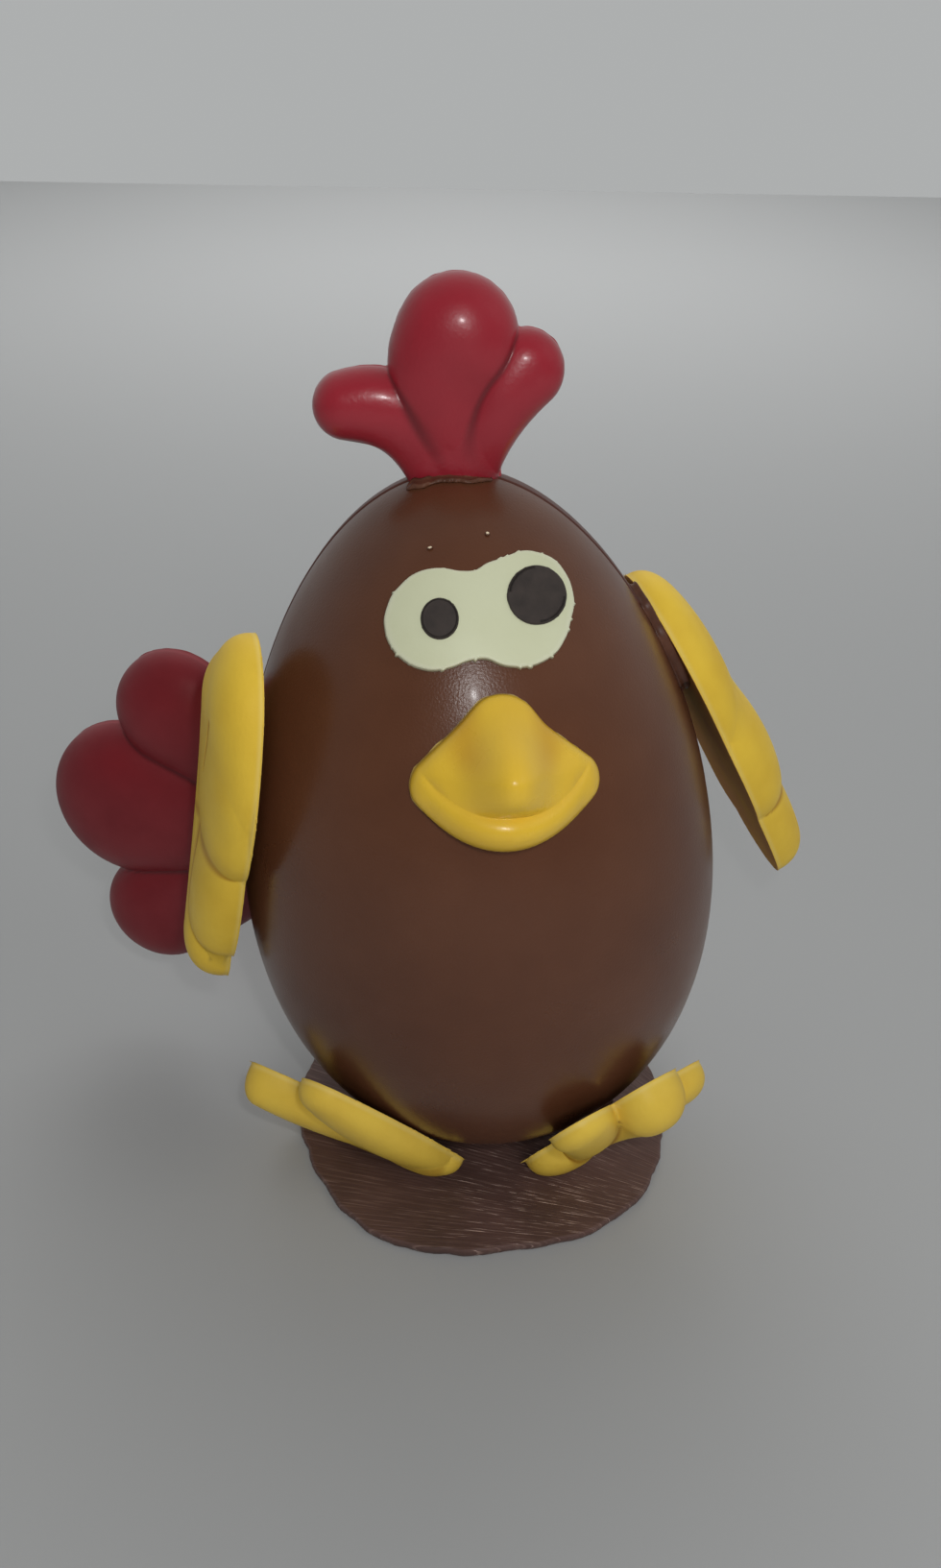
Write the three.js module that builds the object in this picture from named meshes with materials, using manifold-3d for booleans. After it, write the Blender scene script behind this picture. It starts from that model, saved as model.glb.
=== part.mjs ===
// A hollow-moulded chocolate egg dressed up as a chick: the egg stands, leaning a little, on a hand-poured
// disc and carries moulded pieces of coloured chocolate, a comb, a tail, two wings, two feet, a beak and eyes.
// Millimetres, +Z up. The origin is the centre of the disc's underside, and the face looks along -Y.
import * as THREE from 'three';
import { mergeVertices } from 'three/addons/utils/BufferGeometryUtils.js';
import Module from 'manifold-3d';

// ---------------------------------------------------------------- driving dimensions

const GAP = 0.3; // air between two pieces that touch

const EGG_HEIGHT = 180;
const EGG_GIRTH = 58.9; // radius half way up
const EGG_TAPER = 0.306; // how much slimmer the top is than the bottom
const EGG_FULLNESS = 0.045; // how blunt both ends are
const EGG_LEAN = -4.8; // degrees towards -X
const EGG_FOOT = [4.4, 7.2, 2.0]; // where the blunt end would touch down if it weren't melted flat
const SEAM_WIDTH = 0.9; // join of the front and the back half shell
const SEAM_DEPTH = 0.35;

const DISC_RADIUS = 52.4;
const DISC_THICKNESS = 2.5;
const DISC_EDGE = 0.5; // rounding of the disc's edge
const DISC_WAVES = [ // uneven edge left by pouring: waves round the disc, height, phase in degrees
  [3, 0.25, 0],
  [4, 0.5, -138],
  [5, 0.7, 128],
];

const PLATE_THICKNESS = 1.4; // white eye plate
const PUPIL_THICKNESS = 0.7;
const WELD_THICKNESS = 1.0; // melted chocolate round the comb's foot
const RIM = 1.2; // straight edge of a moulded piece, next to its flat back
const WING_RIM = 0.6;
const FOOT_RIM = 0.8;
const BEAK_RIM = 0.8;
const TAIL_RIM = 1.6;
const BULGE = 2.3; // 2 gives an elliptic mound, more gives a flatter top and steeper sides

// Where each moulded piece sits: a point on its flat back, the direction its round side faces, in degrees
// (azimuth 0 is +X and 90 is +Y, elevation is up), and its turn about that direction.
const COMB_PLACE = { at: [-10.7, 10.2, 181.4], azimuth: -90, elevation: 0, turn: 4.8 };
const TAIL_PLACE = { at: [-52.5, 32, 83], azimuth: -104, elevation: 0, turn: 0 };
const LEFT_WING_PLACE = { at: [-55.3, -13.9, 122], azimuth: -164.3, elevation: 7.7, turn: -13.2 };
const RIGHT_WING_PLACE = { at: [47.4, 23.5, 125.6], azimuth: 12.9, elevation: 29.1, turn: 2.4 };
const LEFT_FOOT_PLACE = { at: [-10.3, -25.7, 10.4], azimuth: -117.1, elevation: -35.7, turn: 160.7 };
const RIGHT_FOOT_PLACE = { at: [17.4, -24.4, 10.4], azimuth: -54.4, elevation: -33.3, turn: 27 };
const BEAK_PLACE = { at: [2.0, -40.9, 133.3], azimuth: -81.8, elevation: 22.3, turn: 0 };
const EYES_PLACE = { at: [-3.3, -25.5, 161.5], azimuth: -83.8, elevation: 38.1, turn: 0 };

// ---------------------------------------------------------------- small tools

const wasm = await Module();
wasm.setup();

const radians = THREE.MathUtils.degToRad;

// Matrix of a piece's own frame: x across, y up along the piece, z out of its flat back.
function frameOf({ at, azimuth, elevation, turn }) {
  const facing = new THREE.Vector3().setFromSphericalCoords(1, radians(90 - elevation), radians(azimuth + 90));
  const out = new THREE.Vector3(facing.x, -facing.z, facing.y);
  const across = new THREE.Vector3(0, 0, 1).cross(out).normalize();
  const up = new THREE.Vector3().crossVectors(out, across);
  const spin = new THREE.Matrix4().makeRotationZ(radians(turn));
  return new THREE.Matrix4().makeBasis(across, up, out).setPosition(...at).multiply(spin);
}

function meshOf(points, faces) {
  const geometry = new THREE.BufferGeometry();
  geometry.setAttribute('position', new THREE.Float32BufferAttribute(points.flat(), 3));
  geometry.setIndex(faces.flat());
  return geometry;
}

function toSolid(geometry, matrix = new THREE.Matrix4()) {
  const bare = geometry.clone().applyMatrix4(matrix);
  bare.deleteAttribute('normal');
  bare.deleteAttribute('uv');
  const merged = mergeVertices(bare, 1e-4);
  return new wasm.Manifold(new wasm.Mesh({
    numProp: 3,
    vertProperties: new Float32Array(merged.attributes.position.array),
    triVerts: new Uint32Array(merged.index.array),
  }));
}

function fromSolid(solid) {
  const { vertProperties, triVerts } = solid.getMesh();
  const geometry = new THREE.BufferGeometry();
  geometry.setAttribute('position', new THREE.Float32BufferAttribute(vertProperties, 3));
  geometry.setIndex(Array.from(triVerts));
  return geometry;
}

const chick = new THREE.Group();

function add(name, geometry, matrix, colour, roughness) {
  geometry.computeVertexNormals();
  const material = new THREE.MeshStandardMaterial({ color: colour, roughness, metalness: 0 });
  const mesh = new THREE.Mesh(geometry, material);
  mesh.name = name;
  mesh.applyMatrix4(matrix);
  chick.add(mesh);
}

// Adds a piece that was cut in the object's frame, with its geometry back in the piece's own frame.
function addCut(name, solid, matrix, colour, roughness) {
  const geometry = fromSolid(solid).applyMatrix4(matrix.clone().invert());
  add(name, geometry, matrix, colour, roughness);
}

const DARK = 0x4d2f24;
const YELLOW = 0xd9ac42;
const RED = 0x82282f;

// ---------------------------------------------------------------- egg

const eggMatrix = new THREE.Matrix4().makeRotationY(radians(EGG_LEAN)).setPosition(...EGG_FOOT);

function eggRadius(level) {
  const shape = (1 - level * level) / (1 + EGG_TAPER * level + EGG_FULLNESS * level * level);
  return EGG_GIRTH * Math.sqrt(Math.max(0, shape));
}

// Half outline of the egg from its blunt to its pointed end, moved outwards by grow.
function eggProfile(steps, grow) {
  const profile = [new THREE.Vector2(0, -grow)];
  for (let i = 1; i < steps; i += 1) {
    const level = -Math.cos((Math.PI * i) / steps);
    const near = 1e-4;
    const slope = (eggRadius(level + near) - eggRadius(level - near)) / (EGG_HEIGHT * near);
    const normal = new THREE.Vector2(1, -slope).normalize();
    const point = new THREE.Vector2(eggRadius(level), (EGG_HEIGHT / 2) * (level + 1));
    profile.push(point.addScaledVector(normal, grow));
  }
  profile.push(new THREE.Vector2(0, EGG_HEIGHT + grow));
  return profile;
}

const EGG_RINGS = 28;
const EGG_SEGMENTS = 44;

function eggSolid(grow) {
  const lathe = new THREE.LatheGeometry(eggProfile(EGG_RINGS, grow), EGG_SEGMENTS);
  lathe.rotateX(Math.PI / 2);
  return toSolid(lathe, eggMatrix);
}

// The seam runs over both ends of the egg in the plane that faces the front.
function seamSolid() {
  const ring = new THREE.Shape();
  const outer = eggProfile(EGG_RINGS * 2, 3);
  const inner = eggProfile(EGG_RINGS * 2, -SEAM_DEPTH);
  const bothSides = (half) => [...half, ...half.slice(1, -1).reverse().map((p) => new THREE.Vector2(-p.x, p.y))];
  ring.setFromPoints(bothSides(outer));
  ring.holes.push(new THREE.Path(bothSides(inner)));
  const slab = new THREE.ExtrudeGeometry(ring, { depth: SEAM_WIDTH, bevelEnabled: false });
  slab.translate(0, 0, -SEAM_WIDTH / 2).rotateX(Math.PI / 2);
  return toSolid(slab, eggMatrix);
}

// Everything below the disc's top, with the gap, for melting pieces flat where they stand on the disc.
const underDisc = new THREE.BoxGeometry(300, 300, 60);
underDisc.translate(0, 0, DISC_THICKNESS + GAP - 30);
const standing = toSolid(underDisc);
const eggWithGap = eggSolid(GAP);

const egg = eggSolid(0).subtract(seamSolid()).subtract(standing);
addCut('egg', egg, eggMatrix, DARK, 0.15);

// ---------------------------------------------------------------- disc

function discOutline() {
  const points = [];
  const steps = 60;
  for (let i = 0; i < steps; i += 1) {
    const turn = (2 * Math.PI * i) / steps;
    const wave = DISC_WAVES.reduce((sum, [n, high, phase]) => sum + high * Math.cos(n * turn - radians(phase)), 0);
    const radius = DISC_RADIUS - DISC_EDGE + wave;
    points.push(new THREE.Vector2(radius * Math.cos(turn), radius * Math.sin(turn)));
  }
  return points;
}

const disc = new THREE.ExtrudeGeometry(new THREE.Shape(discOutline()), {
  depth: DISC_THICKNESS - 2 * DISC_EDGE,
  bevelThickness: DISC_EDGE,
  bevelSize: DISC_EDGE,
  bevelSegments: 1,
});
disc.translate(0, 0, DISC_EDGE);
add('base_disc', disc, new THREE.Matrix4(), 0x432e27, 0.5);

// ---------------------------------------------------------------- moulded relief

// A lobe is a mound along a bent spine: points are its start, its bend and its end, and wide and high give
// its half width and its height at the start, the middle and the end.
function along([a, b, c], t) {
  const s = 1 - t;
  return [0, 1].map((i) => s * s * a[i] + 2 * s * t * b[i] + t * t * c[i]);
}

function through([a, b, c], t) {
  return (2 * a - 4 * b + 2 * c) * t * t + (4 * b - 3 * a - c) * t + a;
}

const SPINE_STEPS = 24;

function lobeHeight(lobe, x, y) {
  let best = -Infinity;
  for (let i = 0; i <= SPINE_STEPS; i += 1) {
    const t = i / SPINE_STEPS;
    const [sx, sy] = along(lobe.spine, t);
    const wide = through(lobe.wide, t);
    const reach = Math.hypot(x - sx, y - sy) / wide;
    const mound = reach < 1 ? through(lobe.high, t) * (1 - reach ** BULGE) ** (1 / BULGE) : (1 - reach) * wide;
    best = Math.max(best, mound);
  }
  return best;
}

// Joins two heights with a soft crease of the given width.
function blend(a, b, crease) {
  const apart = Math.abs(a - b);
  const fill = apart < crease ? (crease - apart) ** 2 / (4 * crease) : 0;
  return Math.max(a, b) + fill;
}

// Lobes whose creases fade out towards the neck they all grow from. A lobe may have a softer crease of its own.
function lobedHeight({ lobes, neck, fade, crease }) {
  const [first, ...others] = lobes;
  return (x, y) => {
    const near = Math.exp(-((x - neck[0]) ** 2 + (y - neck[1]) ** 2) / fade ** 2);
    const usual = crease[0] + (crease[1] - crease[0]) * near;
    const joined = (whole, lobe) => blend(whole, lobeHeight(lobe, x, y), lobe.soft ?? usual);
    return others.reduce(joined, lobeHeight(first, x, y));
  };
}

// Distance from the centre to the piece's outline, where its height falls to nothing.
function outlineRadius(height, [cx, cy], turn) {
  const inside = (r) => height(cx + r * Math.cos(turn), cy + r * Math.sin(turn)) > 0;
  let low = 0;
  while (inside(low + 1)) low += 1;
  let high = low + 1;
  for (let i = 0; i < 12; i += 1) {
    const middle = (low + high) / 2;
    if (inside(middle)) low = middle;
    else high = middle;
  }
  return low;
}

// A closed piece with a flat back (or one that follows ground), a straight rim and a rounded front, on rings
// that stand closer together where the front turns down to the rim. The front is as high as height says, or
// as top says if it's given, which also knows how far out between the centre and the outline a point is.
function reliefGeometry({ height, top = height, centre, rim = RIM, ground = () => 0, spokes, rings }) {
  const [cx, cy] = centre;
  const outline = [];
  for (let i = 0; i < spokes; i += 1) {
    const turn = (2 * Math.PI * i) / spokes;
    outline.push({ turn, radius: outlineRadius(height, centre, turn) });
  }
  const front = (x, y, mound) => [x, y, ground(x, y) + rim + mound];
  const points = [front(cx, cy, top(cx, cy, 0))];
  for (let k = 1; k <= rings; k += 1) {
    const part = Math.sin((Math.PI / 2) * (k / rings));
    for (const { turn, radius } of outline) {
      const x = cx + part * radius * Math.cos(turn);
      const y = cy + part * radius * Math.sin(turn);
      points.push(front(x, y, k < rings ? Math.max(0, top(x, y, part)) : 0));
    }
  }
  for (const { turn, radius } of outline) {
    const x = cx + radius * Math.cos(turn);
    const y = cy + radius * Math.sin(turn);
    points.push([x, y, Math.min(0, ground(x, y) * 1.6)]);
  }
  points.push([cx, cy, 0]);
  const faces = [];
  const last = points.length - 1;
  for (let i = 0; i < spokes; i += 1) {
    const j = (i + 1) % spokes;
    faces.push([0, 1 + i, 1 + j]);
    for (let k = 0; k < rings; k += 1) {
      const a = 1 + k * spokes;
      const b = a + spokes;
      faces.push([a + i, b + i, b + j], [a + i, b + j, a + j]);
    }
    faces.push([last, last - spokes + j, last - spokes + i]);
  }
  return meshOf(points, faces);
}

function moulded(piece, { spokes, rings }) {
  return reliefGeometry({ ...piece, height: lobedHeight(piece), spokes, rings });
}

const grown = (lobes, by) => lobes.map((lobe) => ({ ...lobe, wide: lobe.wide.map((w) => w + by) }));

// Thin plate of the given outline, hugging the egg between two distances from its surface.
function plateSolid(outline, matrix, from, to) {
  const block = new THREE.ExtrudeGeometry(outline, { depth: 40, bevelEnabled: false, curveSegments: 16 });
  block.translate(0, 0, -20);
  return toSolid(block, matrix).intersect(eggSolid(to)).subtract(from === GAP ? eggWithGap : eggSolid(from));
}

function lobedOutline(piece, spokes) {
  const height = lobedHeight(piece);
  const points = [];
  for (let i = 0; i < spokes; i += 1) {
    const turn = (2 * Math.PI * i) / spokes;
    const radius = outlineRadius(height, piece.centre, turn);
    points.push(new THREE.Vector2(
      piece.centre[0] + radius * Math.cos(turn),
      piece.centre[1] + radius * Math.sin(turn),
    ));
  }
  return new THREE.Shape(points);
}

// ---------------------------------------------------------------- comb and its weld

const comb = {
  lobes: [
    { spine: [[7, -2], [-4.8, 16.5], [4, 27.4]], wide: [3.8, 10.2, 12.9], high: [4.2, 7.4, 9.4] },
    { spine: [[-2.5, -4], [-3.9, 16], [-20.7, 15.2]], wide: [5.2, 8.3, 7.2], high: [4, 6, 6.9] },
    { spine: [[5.4, 0.8], [9, 11.5], [17.6, 20]], wide: [6.1, 7.2, 8.5], high: [4.4, 6.8, 6.3] },
    { spine: [[1.5, -8], [1.5, -3.5], [1.5, 1]], wide: [10.2, 9.7, 8.5], high: [4.2, 4.4, 4.5] },
  ],
  neck: [2, 0],
  fade: 9,
  crease: [0.5, 3],
  centre: [1.5, 8],
};

const combMatrix = frameOf(COMB_PLACE);
const combSolid = toSolid(moulded(comb, { spokes: 52, rings: 9 }), combMatrix).subtract(eggWithGap);
addCut('comb', combSolid, combMatrix, RED, 0.35);

const combCast = { ...comb, lobes: grown(comb.lobes, GAP), rim: RIM + 2 * GAP };
const combRoom = moulded(combCast, { spokes: 52, rings: 9 }).translate(0, 0, -GAP);

const weldOutline = {
  lobes: [
    { spine: [[-17, 3.6], [-9, 2.2], [-3, 4.4]], wide: [2.8, 2.3, 2.2], high: [1, 1, 1] },
  ],
  neck: [-9, 3],
  fade: 9,
  crease: [1, 1],
  centre: [-9, 3],
};
const crownMatrix = new THREE.Matrix4().setPosition(0, 0, EGG_HEIGHT);
const weld = plateSolid(lobedOutline(weldOutline, 28), crownMatrix, GAP, GAP + WELD_THICKNESS)
  .subtract(toSolid(combRoom, combMatrix));
addCut('comb_weld', weld, crownMatrix, DARK, 0.25);

// ---------------------------------------------------------------- tail

const tail = {
  lobes: [
    { spine: [[3, -10], [-23, -8.5], [-48, -6.2]], wide: [9, 17, 23.3], high: [8, 11, 13] },
    { spine: [[3, -9], [-12.5, 10.5], [-31.5, 23.6]], wide: [9, 13.3, 17.1], high: [7, 9, 11] },
    { spine: [[3, -11], [-19.5, -29.5], [-43, -42]], wide: [9, 13.3, 16.8], high: [7, 9, 11] },
    { spine: [[6, -10], [0, -10], [-6, -10]], wide: [11, 12, 13], high: [7, 7, 7] },
  ],
  neck: [0, -10],
  fade: 20,
  crease: [0.6, 5],
  centre: [-26, -9],
  rim: TAIL_RIM,
};

const tailMatrix = frameOf(TAIL_PLACE);
const tailSolid = toSolid(moulded(tail, { spokes: 52, rings: 9 }), tailMatrix).subtract(eggWithGap);
addCut('tail', tailSolid, tailMatrix, 0x5d2022, 0.5);

// ---------------------------------------------------------------- wings

// A plump feather with a waist, a tip feather that runs over it and a slim one beside them, each with its
// spine, its half widths and its heights. The two wings were finished by hand and aren't mirror images.
function wing(feathers) {
  return { lobes: feathers, neck: [0, 10], fade: 30, crease: [0.4, 2], centre: [0, -8], rim: WING_RIM };
}

const leftWing = wing([
  { spine: [[1, 13.8], [1, 2], [1, -4]], wide: [16.6, 19.6, 19.5], high: [9.6, 9, 8.4] },
  { spine: [[1, -6], [1, -10], [1.6, -13.8]], wide: [19.5, 19.4, 18.6], high: [8.4, 8.8, 9.2], soft: 3 },
  { spine: [[1, -12], [3.5, -34], [2.5, -48]], wide: [14, 14.6, 12.6], high: [6, 9, 9.9] },
  { spine: [[-5.5, 12], [-18, -28], [-2, -62]], wide: [12, 10.5, 12], high: [9.8, 8.8, 10.2] },
]);
const rightWing = wing([
  { spine: [[0, 13.8], [-0.2, 2], [0, -7]], wide: [16.8, 20.4, 20], high: [8.8, 10.3, 8.6] },
  { spine: [[0, -12], [-0.2, -20], [0, -29]], wide: [19.6, 20.4, 19.8], high: [8.6, 12.4, 12.8], soft: 3 },
  { spine: [[-1, -12], [-1.5, -42], [0, -58]], wide: [14.7, 15.1, 12.6], high: [7.7, 10.8, 11] },
  { spine: [[8, -12], [11.5, -35.7], [12.6, -50]], wide: [10.5, 10.5, 8.8], high: [6.6, 9, 8] },
]);
const leftWingMatrix = frameOf(LEFT_WING_PLACE);
const rightWingMatrix = frameOf(RIGHT_WING_PLACE);
add('wing_left', moulded(leftWing, { spokes: 52, rings: 9 }), leftWingMatrix, YELLOW, 0.35);
add('wing_right', moulded(rightWing, { spokes: 52, rings: 9 }), rightWingMatrix, YELLOW, 0.35);

// Melted chocolate squeezed out between the egg and the flat back of a piece.
function glue(name, matrix, [x, y], [halfWidth, halfLength], turn) {
  const dab = new THREE.CylinderGeometry(1, 1, 12, 24);
  dab.scale(halfWidth, 1, halfLength).rotateX(Math.PI / 2).rotateZ(radians(turn));
  dab.translate(x, y, -6 - GAP);
  addCut(name, toSolid(dab, matrix).subtract(eggWithGap), matrix, DARK, 0.3);
}

glue('glue_wing_left', leftWingMatrix, [-2, -18.8], [7, 13], 0);
glue('glue_wing_right', rightWingMatrix, [-4.5, 20.6], [7, 16], 0);

// ---------------------------------------------------------------- feet

// A round heel and three toes that fan out of it.
const foot = (lobes) => ({ lobes, neck: [8, 0], fade: 12, crease: [0.4, 2.5], centre: [6, 0], rim: FOOT_RIM });

const LEFT_TOES = [
  { spine: [[0.5, -0.3], [3.4, -0.1], [6.3, 0]], wide: [6.6, 8, 7.1], high: [5.2, 6.6, 6.4] },
  { spine: [[2.3, -1.9], [15.4, -14.1], [30.7, -29.7]], wide: [6.3, 10.8, 7.4], high: [6.7, 7.8, 5.7], soft: 4 },
  { spine: [[3, 0], [28.1, -3.9], [48, -10.5]], wide: [7.4, 9.5, 6.1], high: [3.5, 7.8, 8.6] },
  { spine: [[4.1, -2], [20.5, 5.9], [38.3, 11.6]], wide: [7.5, 8.4, 8.9], high: [6.6, 7, 6.5] },
];
const RIGHT_TOES = [
  { spine: [[1.2, -0.1], [3.1, -0.5], [5, -0.9]], wide: [7.5, 9.2, 6], high: [5.3, 7, 7.2] },
  { spine: [[5.3, -2.6], [13.8, 16.6], [9.7, 31.9]], wide: [3.7, 7.6, 8.4], high: [5.2, 7.1, 5.1] },
  { spine: [[3, -1.3], [18.2, 10.8], [27.1, 27.2]], wide: [7.5, 6.3, 9.6], high: [6, 6.9, 10.6] },
  { spine: [[3.1, -0.8], [18.8, 1.2], [37.1, 4.8]], wide: [7, 8.6, 8.7], high: [5, 6.2, 7.2] },
];

const FEET = [
  { side: 'left', lobes: LEFT_TOES, place: LEFT_FOOT_PLACE, touch: [11.9, -13], turn: -45 },
  { side: 'right', lobes: RIGHT_TOES, place: RIGHT_FOOT_PLACE, touch: [12.5, 13], turn: 40 },
];

for (const { side, lobes, place, touch, turn } of FEET) {
  const matrix = frameOf(place);
  const solid = toSolid(moulded(foot(lobes), { spokes: 54, rings: 7 }), matrix).subtract(standing);
  addCut(`foot_${side}`, solid, matrix, YELLOW, 0.4);
  glue(`glue_foot_${side}`, matrix, touch, [8, 6], turn);
}

// ---------------------------------------------------------------- beak

// The bill's outline: two flanks run out to the corners of the mouth, over the breadth of the lower lip.
const billOutline = {
  lobes: [
    { spine: [[-0.9, 9.5], [-7.5, 4.5], [-14.2, -0.4]], wide: [6.1, 5, 3.6], high: [5, 6.5, 5] },
    { spine: [[1.5, 8.5], [9.2, 3.6], [16, -0.8]], wide: [6.2, 4.3, 3.4], high: [5, 6, 5] },
    { spine: [[-12.5, -1.5], [0.8, -2], [14.5, -2]], wide: [4.5, 9, 4.5], high: [5.5, 7.5, 5.5] },
    { spine: [[-15.4, -3.4], [-0.8, -16.9], [16.5, -3.4]], wide: [2.8, 5.5, 2.8], high: [4.5, 10.5, 4.5] },
  ],
  neck: [0, 0],
  fade: 20,
  crease: [3, 5],
};

const RIDGE = { x: 0.3, high: 9.2, from: 16, full: -1, narrow: 4.8, broad: 8.2 }; // runs down the middle
const FLANK = { high: 4.7, slope: 0.08, lift: 0.004 }; // on either side of the ridge
const MOUTH = { x: 0.3, y: -7.9, rise: 2.2, deep: 7.6, fall: 0.018 }; // crease that turns up at its corners
const LIP = { high: 10.4, fall: 0.02 };
const NOSE_ROUNDING = 7; // how far above the mouth the bill starts to round down to it
const LIP_ROUNDING = 3.4;
const CORNERS = [14, 18.5]; // where the crease of the mouth fades out
const EDGE_BULGE = 3.6; // how square the bill comes down to its rim

const rounded = (part, power) => (1 - (1 - Math.min(1, part)) ** power) ** (1 / power);

function billTop(x, y, part) {
  const off = Math.abs(x - MOUTH.x);
  const above = y - MOUTH.y - MOUTH.rise * (off / 10) ** 2.6;
  const share = THREE.MathUtils.smoothstep(RIDGE.from - y, 0, RIDGE.from - RIDGE.full);
  const wide = THREE.MathUtils.lerp(RIDGE.narrow, RIDGE.broad, share);
  const ridge = RIDGE.high * share * Math.exp(-((Math.abs(x - RIDGE.x) / wide) ** 2.2));
  const flank = FLANK.high - FLANK.slope * Math.max(0, y) + FLANK.lift * off ** 2;
  const crease = MOUTH.deep - MOUTH.fall * off ** 2;
  const lip = LIP.high - LIP.fall * off ** 2;
  const away = Math.hypot(above, 0.9) - 0.9;
  const upper = crease + (flank + ridge - crease) * rounded(away / NOSE_ROUNDING, 2.4);
  const lower = crease + (lip - crease) * rounded(away / LIP_ROUNDING, 2);
  const corner = THREE.MathUtils.smoothstep(off, ...CORNERS);
  const bill = THREE.MathUtils.lerp(above > 0 ? upper : lower, (flank + lip) / 2, corner);
  return bill * (1 - part ** EDGE_BULGE) ** (1 / EDGE_BULGE);
}

const beakMatrix = frameOf(BEAK_PLACE);
const beakGeometry = reliefGeometry({
  height: lobedHeight(billOutline),
  top: billTop,
  centre: [0.8, -2],
  rim: BEAK_RIM,
  ground: (x, y) => -(x * x) / 104 - (y * y) / 300,
  spokes: 48,
  rings: 13,
});
const beak = toSolid(beakGeometry, beakMatrix).subtract(eggWithGap);
addCut('beak', beak, beakMatrix, YELLOW, 0.3);

// ---------------------------------------------------------------- eyes

const eyeWhite = {
  lobes: [
    { spine: [[-8.7, -0.5], [-0.2, -0.3], [7.3, 0.4]], wide: [10.6, 9.3, 11.4], high: [1, 1, 1] },
    { spine: [[7.3, 0.4], [9.5, 2.1], [11.7, 5.5]], wide: [11.4, 10.3, 8.5], high: [1, 1, 1] },
  ],
  neck: [0, 0],
  fade: 30,
  crease: [0.5, 0.5],
  centre: [0, 0],
};

const PUPILS = [
  { side: 'left', at: [-8.3, -0.9], half: [3.8, 4.3], turn: 5 },
  { side: 'right', at: [12.1, 4], half: [6.9, 6], turn: 46 },
];

const eyesMatrix = frameOf(EYES_PLACE);
const plateTop = GAP + PLATE_THICKNESS;
const plate = plateSolid(lobedOutline(eyeWhite, 56), eyesMatrix, GAP, plateTop);
addCut('eye_plate', plate, eyesMatrix, 0xbcbfa0, 0.4);

for (const { side, at, half, turn } of PUPILS) {
  const disk = new THREE.Shape().absellipse(...at, ...half, 0, 2 * Math.PI, false, radians(turn));
  const pupil = plateSolid(disk, eyesMatrix, plateTop + GAP, plateTop + GAP + PUPIL_THICKNESS);
  addCut(`pupil_${side}`, pupil, eyesMatrix, 0x3b3532, 0.6);
}

export default chick;
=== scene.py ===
import math

import bpy
import numpy as np
from mathutils import Matrix, Vector, noise


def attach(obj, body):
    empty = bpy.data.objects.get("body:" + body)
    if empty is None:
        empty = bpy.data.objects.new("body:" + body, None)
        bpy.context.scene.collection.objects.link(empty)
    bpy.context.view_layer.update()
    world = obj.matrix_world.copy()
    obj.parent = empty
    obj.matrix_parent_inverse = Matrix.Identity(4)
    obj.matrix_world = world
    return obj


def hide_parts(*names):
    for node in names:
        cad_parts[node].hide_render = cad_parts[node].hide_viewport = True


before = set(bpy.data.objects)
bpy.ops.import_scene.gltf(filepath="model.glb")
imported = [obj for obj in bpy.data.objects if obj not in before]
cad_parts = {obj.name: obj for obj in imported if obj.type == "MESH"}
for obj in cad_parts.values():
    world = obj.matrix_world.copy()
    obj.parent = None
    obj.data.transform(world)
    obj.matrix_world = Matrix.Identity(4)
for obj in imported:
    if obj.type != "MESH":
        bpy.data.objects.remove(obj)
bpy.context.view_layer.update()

# ---------------------------------------------------------------- Poured disc
# A puddle of melted milk chocolate, poured by hand and left to set, then scraped level so that the egg can
# stand on it. Its edge is uneven and slightly rounded, and the scraper left fine fanned scratches on top.

MM = 0.001
DISC_RADIUS = 52.4
DISC_THICKNESS = 2.5
DISC_WAVES = [(3, 0.25, 0), (4, 0.5, -138), (5, 0.7, 128)]
DISC_BEVEL = 0.9
SCRAPER_PIVOT = (0.105, -0.055, 0)
GLINT_SPOT = (0.016, -0.034, 0.0025)


def ring_mesh(name, rings, start, end, **masks):
    """A closed skin over rings of points in millimetres, with a point at either end and its masks on it."""
    count, around = rings.shape[:2]
    points = np.vstack([start, rings.reshape(-1, 3), end]) * MM
    step = np.arange(around)
    turn = (step + 1) % around
    faces = [(0, 1 + i, 1 + j) for i, j in zip(step, turn)]
    for k in range(count - 1):
        inner = 1 + k * around
        outer = inner + around
        faces += zip(inner + step, outer + step, outer + turn, inner + turn)
    last = 1 + (count - 1) * around
    faces += [(len(points) - 1, last + j, last + i) for i, j in zip(step, turn)]
    mesh = bpy.data.meshes.new(name)
    mesh.from_pydata(points.tolist(), [], [tuple(int(n) for n in face) for face in faces])
    mesh.shade_smooth()
    for mask, values in masks.items():
        spread = np.concatenate([[values.flat[0]], values.ravel(), [values.flat[-1]]])
        mesh.attributes.new(mask, "FLOAT", "POINT").data.foreach_set("value", spread.astype(np.float32))
    piece = bpy.data.objects.new(name, mesh)
    bpy.context.scene.collection.objects.link(piece)
    return piece


def uneven(points, size, seed):
    """Smooth random values between about -0.5 and 0.5 at points in millimetres, size apart."""
    shift = Vector((seed * 7.3, seed * 3.1, seed * 5.7))
    values = [noise.noise(Vector(p) / size + shift) for p in points.reshape(-1, 3)]
    return np.array(values).reshape(points.shape[:-1])


def group(name, inputs, outputs):
    """A shader node group with its sockets; returns its tree and its two end nodes."""
    tree = bpy.data.node_groups.new(name, "ShaderNodeTree")
    for socket, kind, value in inputs:
        made = tree.interface.new_socket(socket, in_out="INPUT", socket_type="NodeSocket" + kind)
        made.default_value = value
    for socket, kind in outputs:
        tree.interface.new_socket(socket, in_out="OUTPUT", socket_type="NodeSocket" + kind)
    return tree, tree.nodes.new("NodeGroupInput"), tree.nodes.new("NodeGroupOutput")


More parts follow.
